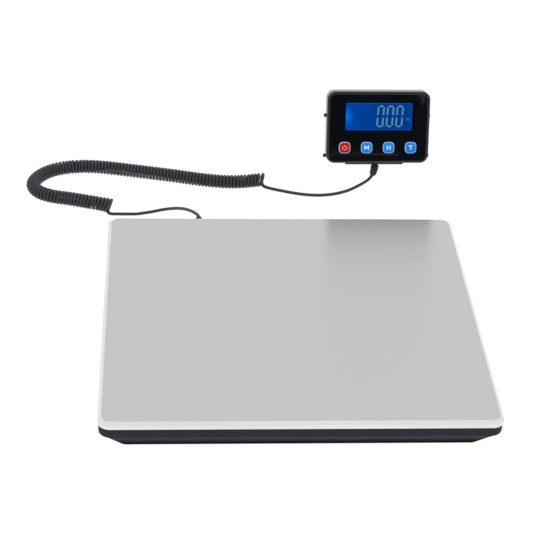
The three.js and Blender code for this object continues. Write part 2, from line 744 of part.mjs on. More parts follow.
// ---------------------------------------------------------------- cord
const LIE = CORD_RADIUS + 0.1; // height of a lead's middle where it lies on the surface

// from the base's strain relief, down to the surface and along it to the coil
const BASE_LEAD = [
  [-72, 154, 30.1], [-72.8, 159.5, 29.5], [-77.2, 169.5, 26.8], [-83.4, 181.5, 21.8],
  [-90.5, 192.4, 15.8], [-98, 201.6, 9.4], [-105, 207.2, 4.7], [-112, 209, 1.9],
  [-119, 207.2, LIE], [-128, 204.9, LIE], [-138, 204.6, LIE], [-146, 204.6, LIE],
  [-150.2, 204.8, LIE], [-153.2, 205.4, LIE],
];
const COIL_ROUTE = [
  [-152.5, 210.6], [-160, 213.3], [-170, 216.3], [-189, 222], [-208.5, 227.3], [-221.3, 235.8],
  [-226, 249], [-220.5, 263.3], [-207.5, 275], [-187, 280.8], [-163, 280], [-130, 273.2],
  [-95, 265.1], [-60, 256.6], [-34, 254.5], [-9, 258.9],
].map(([x, y]) => [x, y, COIL_RADIUS]);
// from the coil along the surface to the display's strain relief
const DISPLAY_LEAD = [
  [-6.6, 253.6, LIE], [-3.6, 252.2, LIE], [1, 249.9, LIE], [8, 247.3, LIE], [17, 244, LIE],
  [28, 240.9, LIE], [39, 239.3, LIE], [50, 239.7, LIE], [62, 242.7, LIE], [74, 249, LIE],
  [85, 258.2, LIE], [92.9, 266.6, 1.7], [97, 272.6, 2.4], [98.5, 275.5, 3],
];

function makeCord() {
  const cord = new THREE.Group();
  add(cord, 'cord_lead_base', tube(BASE_LEAD, CORD_RADIUS, 26, 8), rubber());
  add(cord, 'cord_coil', tube(COIL_ROUTE, COIL_RADIUS, 30, 10), rubber());
  add(cord, 'cord_lead_display', tube(DISPLAY_LEAD, CORD_RADIUS, 20, 8), rubber());
  return cord;
}

// ---------------------------------------------------------------- assembly
// the origin is under the middle of the scale itself, without its cord
const scale = new THREE.Group();
scale.add(makePlatform(), makeHead());
scale.updateMatrixWorld(true);
const extent = new THREE.Box3().setFromObject(scale, true);
const middle = extent.getCenter(new THREE.Vector3());
scale.add(makeCord());
scale.position.set(-middle.x, -middle.y, -extent.min.z);

const assembly = new THREE.Group();
assembly.add(scale);

export default assembly;
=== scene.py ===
"""Looks of the platform shipping scale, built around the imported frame. Metres, +Z up."""

import json
import math

import bmesh
import bpy
from mathutils import Euler, Matrix, Vector


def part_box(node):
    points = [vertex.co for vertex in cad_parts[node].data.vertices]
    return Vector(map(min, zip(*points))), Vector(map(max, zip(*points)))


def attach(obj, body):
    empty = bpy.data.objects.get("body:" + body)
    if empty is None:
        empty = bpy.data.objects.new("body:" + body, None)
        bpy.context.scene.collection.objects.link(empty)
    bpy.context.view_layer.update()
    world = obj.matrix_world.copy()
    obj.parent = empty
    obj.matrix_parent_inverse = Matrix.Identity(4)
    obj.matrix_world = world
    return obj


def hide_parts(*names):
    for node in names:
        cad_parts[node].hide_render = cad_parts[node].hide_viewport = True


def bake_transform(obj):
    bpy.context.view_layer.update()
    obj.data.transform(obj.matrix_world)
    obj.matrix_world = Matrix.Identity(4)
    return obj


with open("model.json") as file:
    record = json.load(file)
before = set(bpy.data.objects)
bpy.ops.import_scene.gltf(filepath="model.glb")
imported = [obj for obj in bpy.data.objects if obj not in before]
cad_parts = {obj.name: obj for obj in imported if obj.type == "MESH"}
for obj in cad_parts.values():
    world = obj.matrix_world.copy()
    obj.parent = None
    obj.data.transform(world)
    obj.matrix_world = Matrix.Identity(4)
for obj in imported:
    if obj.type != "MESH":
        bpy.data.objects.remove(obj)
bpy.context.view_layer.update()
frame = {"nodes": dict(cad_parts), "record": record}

BASE, TRAY, HEAD = "base", "tray", "display_head"
MM = 0.001

# ---------------------------------------------------------------- places
# The two local frames are in millimetres: the platform's has its origin under the tray's
# middle, and the head's lies in the display's face with y going back and z up the face.
TRAY_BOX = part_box("weighing_tray")
MIDDLE = (Vector(TRAY_BOX[0]) + Vector(TRAY_BOX[1])) / 2
PLATFORM = Matrix.Translation((MIDDLE.x, MIDDLE.y, 0)) @ Matrix.Scale(MM, 4)
HEAD_RISE = 12  # the face's lower edge above the surface
HEAD_TILT = math.radians(19)
HEAD_PLACE = Vector((103.85, 282.2, HEAD_RISE))
HEAD_TURN = Euler((-HEAD_TILT, 0, math.radians(0.8)))
HEAD_FRAME = PLATFORM @ Matrix.Translation(HEAD_PLACE) @ HEAD_TURN.to_matrix().to_4x4()
PIN_PLACE = Vector((0, 29.9, 27))
LEG_OPEN = math.radians(35)
LEG_FRAME = HEAD_FRAME @ Matrix.Translation(PIN_PLACE) @ Matrix.Rotation(LEG_OPEN, 4, "X")
CORD_EXIT = Vector((-72, 153.5, 30.1))  # tip of the boot at the platform's back


# ---------------------------------------------------------------- camera
CAMERA_PLACE = Vector((-101.05, -1008.0, 776.2))
CAMERA_TURN = (-4.508, 34.414, -2.668)  # yaw to the left, pitch down and roll, in degrees
CAMERA_LENS = 104.5


def make_camera():
    yaw, pitch, roll = (math.radians(a) for a in CAMERA_TURN)
    level = math.cos(pitch)
    forward = Vector((-math.sin(yaw) * level, math.cos(yaw) * level, -math.sin(pitch)))
    right = Vector((math.cos(yaw), math.sin(yaw), 0))
    down = forward.cross(right)
    across = math.cos(roll) * right + math.sin(roll) * down
    up = math.sin(roll) * right - math.cos(roll) * down
    data = bpy.data.cameras.new("camera")
    data.sensor_width = 36
    data.lens = CAMERA_LENS
    camera = bpy.data.objects.new("camera", data)
    bpy.context.scene.collection.objects.link(camera)
    turn = Matrix((across, up, -forward)).transposed().to_4x4()
    camera.matrix_world = Matrix.Translation(PLATFORM @ CAMERA_PLACE) @ turn
    bpy.context.scene.camera = camera


make_camera()


# ---------------------------------------------------------------- mesh helpers
def make(name, points, faces):
    """A new object with a mesh of its own."""
    mesh = bpy.data.meshes.new(name)
    mesh.from_pydata([tuple(p) for p in points], [], faces)
    obj = bpy.data.objects.new(name, mesh)
    bpy.context.scene.collection.objects.link(obj)
    tidy_normals(obj)
    return obj


def tidy_normals(obj):
    work = bmesh.new()
    work.from_mesh(obj.data)
    bmesh.ops.remove_doubles(work, verts=work.verts, dist=1e-5)
    bmesh.ops.recalc_face_normals(work, faces=work.faces)
    work.to_mesh(obj.data)
    work.free()


def skin(name, rings, loop=False):
    """A closed skin through rings of equally many points; a loop joins its last ring to its first."""
    count = len(rings[0])
    points = [p for ring in rings for p in ring]
    faces = []
    spans = len(rings) if loop else len(rings) - 1
    for r in range(spans):
        a, b = r * count, ((r + 1) % len(rings)) * count
        for k in range(count):
            n = (k + 1) % count
            faces.append((a + k, a + n, b + n, b + k))
    if not loop:
        faces.append(tuple(range(count)))
        faces.append(tuple(range(len(points) - count, len(points))))
    return make(name, points, faces)


def outline(w, h, radius, steps=10):
    """Rectangle with rounded corners about the origin."""
    points = []
    for corner in range(4):
        sx = 1 if corner in (0, 3) else -1
        sy = 1 if corner < 2 else -1
        for k in range(steps + 1):
            angle = (corner + k / steps) * math.pi / 2
            x = sx * (w / 2 - radius) + radius * math.cos(angle)
            y = sy * (h / 2 - radius) + radius * math.sin(angle)
            points.append((x, y))
    return points


def flat_ring(w, d, radius, z, steps=10):
    return [(x, y, z) for x, y in outline(w, d, radius, steps)]


def face_ring(w, h, radius, y, x0=0.0, z0=35.0, steps=8):
    """Upright rounded rectangle in the head's frame, at depth y."""
    return [(x0 + x, y, z0 + z) for x, z in outline(w, h, radius, steps)]


def block(name, xs, ys, zs):
    corners = ((xs[0], ys[0]), (xs[1], ys[0]), (xs[1], ys[1]), (xs[0], ys[1]))
    return skin(name, [[(x, y, z) for x, y in corners] for z in zs])


def lathe(name, profile, sides=32, axis="Z", at=(0, 0, 0)):
    """Turns (radius, height) pairs about an axis through a point."""
    rings = []
    for radius, height in profile:
        ring = []
        for k in range(sides):
            angle = 2 * math.pi * k / sides
            u, v = radius * math.cos(angle), radius * math.sin(angle)
            local = {"Z": (u, v, height), "Y": (u, height, v), "X": (height, u, v)}[axis]
            ring.append(Vector(local) + Vector(at))
        rings.append(ring)
    return skin(name, rings)


def settle(obj):
    """Applies the piece's modifiers to its mesh."""
    graph = bpy.context.evaluated_depsgraph_get()
    mesh = bpy.data.meshes.new_from_object(obj.evaluated_get(graph))
    obj.modifiers.clear()
    obj.data = mesh
    return obj


def carve(obj, tools, operation="DIFFERENCE"):
    """Cuts the tools out of a piece, or adds them to it, and uses them up."""
    for tool in tools:
        step = obj.modifiers.new("carve", "BOOLEAN")
        step.operation = operation
        step.solver = "EXACT"
        step.object = tool
    settle(obj)
    for tool in tools:
        bpy.data.objects.remove(tool)
    tidy_normals(obj)
    return obj


def bevel(obj, width, segments=2, angle=35):
    step = obj.modifiers.new("bevel", "BEVEL")
    step.width = width
    step.segments = segments
    step.limit_method = "ANGLE"
    step.angle_limit = math.radians(angle)
    step.miter_outer = "MITER_ARC"
    return settle(obj)


def joined(name, objects):
    """One mesh from several, still as separate shells."""
    work = bmesh.new()
    for obj in objects:
        work.from_mesh(obj.data)
        bpy.data.objects.remove(obj)
    mesh = bpy.data.meshes.new(name)
    work.to_mesh(mesh)
    work.free()
    piece = bpy.data.objects.new(name, mesh)
    bpy.context.scene.collection.objects.link(piece)
    return piece


def merge_painted(obj, extra, index):
    """Adds another mesh to a piece, all in one of its materials."""
    work = bmesh.new()
    work.from_mesh(obj.data)
    before = len(work.faces)
    work.from_mesh(extra.data)
    work.faces.ensure_lookup_table()
    for face in work.faces[before:]:
        face.material_index = index
    work.to_mesh(obj.data)
    work.free()
    bpy.data.objects.remove(extra)
    return obj


def smooth(obj, angle):
    obj.data.shade_smooth()
    obj.data.set_sharp_from_angle(angle=math.radians(angle))
    return obj


def wear(obj, *materials):
    """Sets a piece's materials; the first is on every face until it is painted."""
    obj.data.materials.clear()
    for material in materials:
        obj.data.materials.append(material)


def paint(obj, index, test):
    """Gives material index to each face whose centre and normal pass a test."""
    for face in obj.data.polygons:
        if test(face.center, face.normal):
            face.material_index = index


def place(obj, local, body, slot, *nodes):
    """Moves a piece from its local frame into the scene and ties it to a body."""
    obj.data.transform(local)
    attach(obj, body)
    if nodes:
        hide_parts(*nodes)
    return obj


# ---------------------------------------------------------------- materials
class Look:
    """A procedural material: a Principled shader and helpers that feed it."""

    def __init__(self, name, rough, metal=0.0, **fixed):
        self.material = bpy.data.materials.new(name)
        self.material.use_nodes = True
        self.tree = self.material.node_tree
        self.tree.nodes.clear()
        self.shader = self.node("ShaderNodeBsdfPrincipled")
        end = self.node("ShaderNodeOutputMaterial")
        self.link(self.shader.outputs[0], end.inputs["Surface"])
        self.place = self.node("ShaderNodeTexCoord").outputs["Object"]
        self.set(self.shader, Roughness=rough, Metallic=metal, **fixed)

    def node(self, kind, **properties):
        made = self.tree.nodes.new(kind)
        for key, value in properties.items():
            setattr(made, key, value)
        return made

    def link(self, source, target):
        self.tree.links.new(source, target)

    def set(self, node, **values):
        for key, value in values.items():
            name = key.replace("_", " ")
            node.inputs[name].default_value = value

    def mapped(self, scale, turn=(0, 0, 0), origin=(0, 0, 0)):
        """Coordinates in a local frame, divided by a scale in metres on each axis."""
        node = self.node("ShaderNodeMapping", vector_type="TEXTURE")
        self.set(node, Scale=scale, Rotation=turn, Location=origin)
        self.link(self.place, node.inputs["Vector"])
        return node.outputs["Vector"]

    def noise(self, vector, detail, rough=0.55):
        node = self.node("ShaderNodeTexNoise")
        self.set(node, Scale=1.0, Detail=detail, Roughness=rough)
        self.link(vector, node.inputs["Vector"])
        return node.outputs["Fac"]

    def math(self, operation, a, b=0.0):
        node = self.node("ShaderNodeMath", operation=operation)
        for value, socket in ((a, node.inputs[0]), (b, node.inputs[1])):
            if isinstance(value, (int, float)):
                socket.default_value = value
            else:
                self.link(value, socket)
        return node.outputs[0]

    def band(self, value, low, high, start=0.0, end=1.0):
        """Goes smoothly from start to end while the value goes from low to high."""
        node = self.node("ShaderNodeMapRange", interpolation_type="SMOOTHSTEP")
        for socket, number in zip(list(node.inputs)[1:5], (low, high, start, end)):
            socket.default_value = number
        self.link(value, node.inputs["Value"])
        return node.outputs["Result"]

    def mix(self, factor, a, b):
        node = self.node("ShaderNodeMix", data_type="RGBA")
        self.link(factor, node.inputs["Factor"])
        for value, socket in ((a, node.inputs[6]), (b, node.inputs[7])):
            if isinstance(value, tuple):
                socket.default_value = (*value, 1)
            else:
                self.link(value, socket)
        return node.outputs[2]

    def colour(self, socket):
        self.link(socket, self.shader.inputs["Base Color"])

    def roughness(self, value, low, high):
        """Gloss that follows a noise; most of a noise lies between 0.3 and 0.7."""
        self.link(self.band(value, 0.3, 0.7, low, high), self.shader.inputs["Roughness"])

    def bump(self, height, strength, distance=0.0002):
        node = self.node("ShaderNodeBump")
        self.set(node, Strength=strength, Distance=distance)
        self.link(height, node.inputs["Height"])
        self.link(node.outputs["Normal"], self.shader.inputs["Normal"])


def rgb(*values):
    """Screen colour, 0 to 255, to linear."""
    return tuple(v / 255 / 12.92 if v <= 10 else ((v / 255 + 0.055) / 1.055) ** 2.4 for v in values)


def grained(name, colour, rough, grain=0.0006, strength=0.15, spread=0.12, metal=0.0, **fixed):
    """Moulded or cast surface: fine grain in the bump, slow variation in colour and gloss."""
    look = Look(name, rough, metal, **fixed)
    slow = look.noise(look.mapped((0.03,) * 3), detail=2)
    fine = look.noise(look.mapped((grain,) * 3), detail=2)
    dark = tuple(c * (1 - spread) for c in colour)
    light = tuple(min(1, c * (1 + spread)) for c in colour)
    look.colour(look.mix(slow, dark, light))
    look.roughness(fine, rough - 0.05, min(1, rough + 0.05))
    look.bump(fine, strength, grain / 3)
    return look.material


def base_plastic_painted_shade(name, low, high, **fixed):
    """Textured black with painted shade: darker towards its lower edge."""
    look = Look(name, 0.5, **fixed)
    axes = look.node("ShaderNodeSeparateXYZ")
    look.link(look.mapped((MM,) * 3), axes.inputs[0])
    fine = look.noise(look.mapped((0.0006,) * 3), detail=2)
    slow = look.noise(look.mapped((0.03,) * 3), detail=2)
    upper = look.mix(slow, tuple(c * 0.92 for c in high), tuple(c * 1.08 for c in high))
    # painted shade: the upper colour at 26 mm up turns to the low colour at 7 mm
    look.colour(look.mix(look.band(axes.outputs["Z"], 7, 26), low, upper))
    look.roughness(fine, 0.46, 0.56)
    look.bump(fine, 0.2, 0.0002)
    return look.material


def brushed_steel(name, colour, rough, length=0.08, line=0.00035, depth=0.06, contrast=0.02, across=0.0):
    """Steel brushed along X: fine streaks in colour, gloss and bump.

    With across above 0, reflections smear across the streaks.
    """
    look = Look(name, rough, 1.0)
    streaks = look.noise(look.mapped((length, line, line)), detail=4, rough=0.7)
    broad = look.noise(look.mapped((0.3, 0.02, 0.02)), detail=2)
    cloud = look.noise(look.mapped((0.14, 0.14, 0.14)), detail=1)
    blend = look.math("ADD", look.math("MULTIPLY", streaks, 0.7), look.math("MULTIPLY", broad, 0.1))
    blend = look.math("ADD", blend, look.math("MULTIPLY", cloud, 0.2))
    dark = tuple(c * (1 - contrast) for c in colour)
    light = tuple(min(1, c * (1 + contrast)) for c in colour)
    look.colour(look.mix(look.band(blend, 0.35, 0.65), dark, light))
    look.roughness(streaks, rough - 0.04, rough + 0.05)
    look.bump(streaks, depth, 0.00002)
    if across:
        tangent = look.node("ShaderNodeTangent", direction_type="UV_MAP", uv_map="brush")
        look.link(tangent.outputs[0], look.shader.inputs["Tangent"])
        look.set(look.shader, Anisotropic=across)
    return look.material


def circuit_board(name):
    """Green board with lighter tracks and scattered pads."""
    look = Look(name, 0.35)
    cells = look.node("ShaderNodeTexBrick", offset=0.35)
    look.link(look.mapped((0.004, 0.004, 0.004)), cells.inputs["Vector"])
    look.set(cells, Mortar_Size=0.05, Scale=1.0)
    pads = look.node("ShaderNodeTexVoronoi", feature="F1")
    look.link(look.mapped((0.003,) * 3), pads.inputs["Vector"])
    board = look.mix(cells.outputs["Fac"], (0.008, 0.085, 0.03), (0.015, 0.16, 0.06))
    spot = look.band(pads.outputs["Distance"], 0.16, 0.2, 1, 0)
    look.colour(look.mix(spot, board, (0.55, 0.5, 0.35)))
    look.bump(cells.outputs["Fac"], 0.2)
    return look.material


def local_axes(look):
    """The head's own x and z, in millimetres."""
    place_m = HEAD_FRAME.to_translation()
    vector = look.mapped((MM,) * 3, tuple(HEAD_TURN), tuple(place_m))
    axes = look.node("ShaderNodeSeparateXYZ")
    look.link(vector, axes.inputs[0])
    return axes.outputs["X"], axes.outputs["Z"]


WINDOW_X, WINDOW_Z, WINDOW_W, WINDOW_H = 0.4, 45.6, 64.4, 26.6


def backlit_blue(name):
    """Negative display: deep blue, a brighter rim, and the lamp's glow at the left edge."""
    look = Look(name, 0.5, Specular_IOR_Level=0.0)
    x, z = local_axes(look)
    from_x = look.math("ABSOLUTE", look.math("SUBTRACT", x, WINDOW_X))
    from_z = look.math("ABSOLUTE", look.math("SUBTRACT", z, WINDOW_Z))
    past_side = look.math("SUBTRACT", from_x, WINDOW_W / 2)
    past_top = look.math("SUBTRACT", from_z, WINDOW_H / 2)
    edge = look.math("MAXIMUM", past_side, past_top)
    rim = look.band(edge, -1.5, -0.7)
    line = look.math("MULTIPLY", look.band(edge, -2.0, -1.6), look.band(edge, -1.6, -1.2, 1, 0))
    left = look.math("SUBTRACT", x, WINDOW_X - WINDOW_W / 2)
    level = look.math("MULTIPLY", from_z, 0.8)
    squares = [look.math("MULTIPLY", way, way) for way in (left, level)]
    reach = look.math("SQRT", look.math("ADD", *squares))
    glow = look.math("POWER", look.band(reach, 0, 13, 1, 0), 2.2)
    tint = look.mix(look.band(left, 4, 40), rgb(0, 66, 154), rgb(0, 58, 136))
    tint = look.mix(look.math("MULTIPLY", line, 0.35), tint, rgb(0, 42, 100))
    tint = look.mix(look.math("MULTIPLY", rim, 0.8), tint, rgb(0, 80, 190))
    tint = look.mix(glow, tint, rgb(0, 118, 236))
    look.colour(look.mix(rim, (0, 0.004, 0.02), (0, 0.006, 0.03)))
    look.link(tint, look.shader.inputs["Emission Color"])
    look.set(look.shader, Emission_Strength=1.0)
    return look.material


def pale_segments(name):
    look = Look(name, 0.5, Specular_IOR_Level=0.0)
    slow = look.noise(look.mapped((0.004,) * 3), detail=2)
    look.link(look.mix(slow, rgb(82, 134, 166), rgb(94, 146, 176)), look.shader.inputs["Emission Color"])
    look.set(look.shader, Emission_Strength=1.0)
    look.colour(look.mix(slow, (0.01, 0.02, 0.03), (0.012, 0.025, 0.035)))
    return look.material


def gloss_panel(name):
    """Polished black sheet with faint smears in its gloss."""
    look = Look(name, 0.06, Specular_IOR_Level=0.3)
    smear = look.noise(look.mapped((0.02, 0.02, 0.02)), detail=4)
    look.colour(look.mix(smear, rgb(7, 9, 13), rgb(11, 14, 19)))
    look.roughness(smear, 0.04, 0.12)
    return look.material


def clear_window(name):
    look = Look(name, 0.0, Transmission_Weight=1.0, IOR=1.3, Specular_IOR_Level=0.25)
    haze = look.noise(look.mapped((0.01,) * 3), detail=3)
    look.roughness(haze, 0.0, 0.015)
    look.colour(look.mix(haze, (0.97, 0.98, 1.0), (0.99, 0.99, 1.0)))
    return look.material


def key_plastic_painted_light(name, low, high):
    """Moulded key colour with painted light: a little lighter towards the upper edge."""
    look = Look(name, 0.3, Specular_IOR_Level=0.15)
    _, z = local_axes(look)
    fine = look.noise(look.mapped((0.0012,) * 3), detail=2)
    # painted light: the low colour 10 mm up the face turns to the high one at 21 mm
    look.colour(look.mix(look.band(z, 10, 21), low, high))
    look.roughness(fine, 0.26, 0.36)
    look.bump(fine, 0.06, 0.0001)
    return look.material


RUBBER = grained("rubber", (0.016, 0.0165, 0.018), 0.62, grain=0.0005, strength=0.2, Specular_IOR_Level=0.4)
JACKET = grained(
    "cord_jacket", (0.0175, 0.0205, 0.027), 0.42, grain=0.0015, strength=0.08, Specular_IOR_Level=0.4
)
HOUSING = grained("housing_plastic", (0.0135, 0.0145, 0.0185), 0.42, grain=0.0004, strength=0.16)
# painted light: a lighter, bluer copy of the housing plastic, for the sheen along the head's sides
HOUSING_SIDE_PAINTED_LIGHT = grained("housing_side_painted_light", (0.018, 0.021, 0.03), 0.13, grain=0.0004, strength=0.02)
# black base plastic with painted shade towards its lower edge
BASE_PLASTIC_PAINTED_SHADE = base_plastic_painted_shade(
    "base_plastic_painted_shade", (0.01, 0.011, 0.013), (0.0185, 0.0225, 0.0278), Specular_IOR_Level=0.06
)
# painted light and shade: the lower slant's copy of the base plastic, lighter at its top and near black at
# its foot
BASE_SLANT_PAINTED_SHADE = base_plastic_painted_shade(
    "base_slant_painted_shade", (0.004, 0.004, 0.005), (0.05, 0.055, 0.068), Specular_IOR_Level=0.0
)
STEEL_TOP = brushed_steel(
    "tray_brushed", (0.577, 0.573, 0.568), 0.24, line=0.00025, contrast=0.012, across=0.8
)
# painted light: a brighter copy of the tray's steel for its chamfer and skirt, for the light they catch
STEEL_EDGE_PAINTED_LIGHT = brushed_steel("tray_edge_painted_light", (0.748, 0.748, 0.746), 0.22, depth=0.04, contrast=0.05)
SHEET = brushed_steel("deck_sheet", (0.42, 0.43, 0.44), 0.4, length=0.05, line=0.0008)
CELL_STEEL = brushed_steel("cell_steel", (0.46, 0.47, 0.48), 0.32, length=0.01, line=0.0004)
PLATED = grained("plated_steel", (0.62, 0.63, 0.65), 0.25, grain=0.0008, strength=0.06, metal=1.0)
PANEL = gloss_panel("panel_gloss")
LCD = backlit_blue("lcd_blue")
SEGMENTS = pale_segments("lcd_segments")
# key colours with painted light, lighter towards each key's upper edge
KEY_RED = key_plastic_painted_light("key_red", rgb(158, 8, 6), rgb(184, 16, 14))
KEY_BLUE = key_plastic_painted_light("key_blue", rgb(0, 110, 200), rgb(0, 124, 212))
KEY_EDGE = grained("key_edge", rgb(150, 178, 205), 0.35, grain=0.001, strength=0.05)
GLYPH = grained("key_glyph", rgb(214, 226, 238), 0.4, grain=0.001, strength=0.05)
BATTERY_SLEEVE = grained(
    "battery_sleeve", (0.03, 0.045, 0.05), 0.28, grain=0.002, strength=0.04, metal=0.3
)
GLYPH_PINK = grained("key_glyph_pink", rgb(236, 176, 176), 0.4, grain=0.001, strength=0.05)

BY_SLOT = {
    "tray_steel": STEEL_TOP,
    "sheet_steel": SHEET,
    "machined_steel": CELL_STEEL,
    "screw_steel": PLATED,
    "housing_plastic": HOUSING,
    "black_rubber": RUBBER,
    "grey_rubber": grained("grey_rubber", (0.2, 0.21, 0.22), 0.65, strength=0.2),
    "cord_jacket": JACKET,
    "lead_sleeve": grained("lead_sleeve", (0.45, 0.43, 0.37), 0.5, grain=0.001, strength=0.1),
    "circuit_board": circuit_board("circuit_board"),
    "panel_gloss": PANEL,
    "lcd_clear": clear_window("lcd_clear"),
    "lcd_blue": LCD,
    "light_guide": grained("light_guide", (0.75, 0.8, 0.85), 0.3, grain=0.001, strength=0.05),
    "key_red": KEY_RED,
    "key_blue": KEY_BLUE,
    "battery_can": BATTERY_SLEEVE,
}


# ---------------------------------------------------------------- cord
CORD_RADIUS = 1.5
COIL_MEAN = 5.2
COIL_HEIGHT = 6.8
COIL_TURNS = 101
LAST_APART = 1.6  # how far the last loop stands off from its neighbour
END_LEAN = (2.4, 1.5)  # how far the end loops' tops lean to the right
LIE = 1.6  # height of a lead's middle on the surface
BASE_LEAD = [
    (-72, 150, 30.1), (-72, 154, 30.1), (-72.8, 159.5, 29.5), (-77.2, 169.5, 26.8), (-83.4, 181.5, 21.8),
    (-90.5, 192.4, 15.8), (-98, 201.6, 9.4), (-105, 207.2, 4.7), (-112, 209, 1.9), (-119, 207.2, LIE),
    (-128, 204.9, LIE), (-138, 204.6, LIE), (-146, 204.6, LIE), (-150.26, 204.57, LIE),
]
COIL_ROUTE = [
    (-152.5, 210.6), (-160, 213.3), (-170, 216.3), (-189, 222), (-208.5, 227.3), (-221.3, 235.8), (-226, 249),
    (-220.5, 263.3), (-207.5, 275), (-187, 280.8), (-163, 280), (-130, 273.2), (-95, 265.1),
    (-60, 256.6), (-34, 254.5), (-9, 258.9),
]
DISPLAY_LEAD = [
    (-3.9, 252.35, LIE), (1, 249.9, LIE), (8, 247.3, LIE), (17, 244, LIE), (28, 240.9, LIE), (39, 239.3, LIE),
    (50, 239.7, LIE), (62, 242.7, LIE), (74, 249, LIE), (85, 258.2, LIE), (93.4, 266.6, 1.8),
    (97.7, 272.6, 2.6), (99.3, 275.9, 3.4), (100, 277.4, 3.9),
]
NOTCHES = ((0.05, 0.9), (0.44, 0.8), (0.95, 0.6))  # place along the coil, size in mm


def spline(points, steps):
    """Catmull-Rom curve through the points, with that many pieces between each pair."""
    pts = [Vector(p) for p in points]
    pts = [2 * pts[0] - pts[1], *pts, 2 * pts[-1] - pts[-2]]
    out = []
    for a, b, c, d in zip(pts, pts[1:], pts[2:], pts[3:]):
        for k in range(steps):
            t = k / steps
            slope = (c - a) * t
            bend = (2 * a - 5 * b + 4 * c - d) * t * t
            twist = (3 * b - a - 3 * c + d) * t**3
            out.append(0.5 * (2 * b + slope + bend + twist))
    out.append(pts[-2])
    return out


def evenly(points, count):
    """Points and directions at even distances along a polyline."""
    lengths = [0.0]
    for a, b in zip(points, points[1:]):
        lengths.append(lengths[-1] + (b - a).length)
    out, k = [], 0
    for i in range(count + 1):
        at = lengths[-1] * i / count
        while k < len(points) - 2 and lengths[k + 1] < at:
            k += 1
        share = (at - lengths[k]) / (lengths[k + 1] - lengths[k])
        out.append((points[k].lerp(points[k + 1], share), (points[k + 1] - points[k]).normalized()))
    return out


def turned_arc(centre, start, sweep, steps):
    """Level arc from a start point about a centre, its two ends left out."""
    middle = Vector(centre)
    spoke = Vector(start) - middle
    turns = (Matrix.Rotation(math.radians(sweep) * k / steps, 3, "Z") for k in range(1, steps))
    return [middle + turn @ spoke for turn in turns]


def lean_at(share):
    """How far a loop's top is pushed along X, by its place along the coil."""
    ends = END_LEAN[0] * math.exp(-share * 24) + END_LEAN[1] * math.exp((share - 1) * 24)
    spots = ((size, (share - spot) * 70) for spot, size in NOTCHES)
    return ends + sum(size * away * math.exp(-away * away) for size, away in spots)


def coil_path():
    """The coil's thread; its loops stand a little more upright to the front than its route does."""
    route = spline([(x, y, COIL_HEIGHT) for x, y in COIL_ROUTE], 24)
    count = COIL_TURNS * 16
    out = []
    for k, (middle, along) in enumerate(evenly(route, count)):
        angle = -math.pi / 2 - 2 * math.pi * COIL_TURNS * k / count
        side = Vector((-0.5 * along.y, along.x, 0)).normalized()
        lean = lean_at(k / count) * math.sin(angle)
        spoke = math.cos(angle) * side + math.sin(angle) * Vector((0, 0, 1))
        apart = LAST_APART * max(0, COIL_TURNS * (k / count - 1) + 1)
        out.append(middle + COIL_MEAN * spoke + Vector((lean + apart, 0, 0)))
    return out


def cord_path():
    """The whole thread, from the platform to the display head."""
    into = turned_arc((-150.26, 209.37, LIE), (-150.26, 204.57, LIE), -105, 9)
    out_of = turned_arc((-1.9, 259.1, LIE), (-8.9, 258.9, LIE), 66, 6)
    return spline(BASE_LEAD, 8) + into + coil_path() + out_of + spline(DISPLAY_LEAD, 7)


def tube(name, path, radius, sides=10):
    """A closed tube along a path, its rings carried along without twist."""
    rings = []
    up = Vector((0, 0, 1))
    for k, point in enumerate(path):
        ahead = (path[min(k + 1, len(path) - 1)] - path[max(k - 1, 0)]).normalized()
        across = ahead.cross(up).normalized()
        up = across.cross(ahead).normalized()
        rings.append([
            point + radius * (math.cos(a) * across + math.sin(a) * up)
            for a in (2 * math.pi * s / sides for s in range(sides))
        ])
    return skin(name, rings)


def make_cord():
    path = cord_path()
    cord = smooth(tube("curly_cord", path, CORD_RADIUS), 60)
    wear(cord, JACKET)
    cord.data.transform(PLATFORM)
    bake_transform(cord)
    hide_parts("cord_lead_base", "cord_coil", "cord_lead_display")


make_cord()


# ---------------------------------------------------------------- platform
TRAY_W, TRAY_D, TRAY_RADIUS = 302.5, 280, 9.5
FOOT_X, FOOT_Y = 98, 88
COLUMN_X, COLUMN_Y = 68, 118  # the screw columns under the deck
SIDES = (-1, 1)


def tray_ring(inset, z):
    """The tray's outline, drawn in by an inset."""
    return flat_ring(TRAY_W - 2 * inset, TRAY_D - 2 * inset, max(TRAY_RADIUS - inset, 1.5), z, 12)


def make_tray():
    profile = [
        (4.2, 38.8), (3.7, 38.8), (1.35, 37.0), (1.2, 36.6), (1.2, 34.5), (1.0, 34.3), (0.2, 34.3),
        (0, 34.5), (0, 37.45), (2.2, 39.72),
        (2.38, 39.87), (2.6, 39.97), (2.85, 40), (4.4, 40),
    ]
    tray = smooth(skin("tray_skin", [tray_ring(inset, z) for inset, z in profile]), 40)
    brush = tray.data.uv_layers.new(name="brush")
    for loop in tray.data.loops:
        spot = tray.data.vertices[loop.vertex_index].co
        brush.data[loop.index].uv = (spot.y * MM, spot.x * MM)
    # painted light: the chamfer and skirt take the brighter copy of the steel
    wear(tray, STEEL_TOP, STEEL_EDGE_PAINTED_LIGHT)
    paint(tray, 1, lambda centre, normal: centre.z < 39.99 and centre.z > 34.2)
    place(tray, PLATFORM, TRAY, "tray_steel", "weighing_tray")


def base_ring(inset, radius, z):
    """The tub's outline; its rim stands half a millimetre inside the tray's."""
    set_in = 2 * (0.5 + inset)
    return flat_ring(TRAY_W - set_in, TRAY_D - set_in, radius, z, 12)


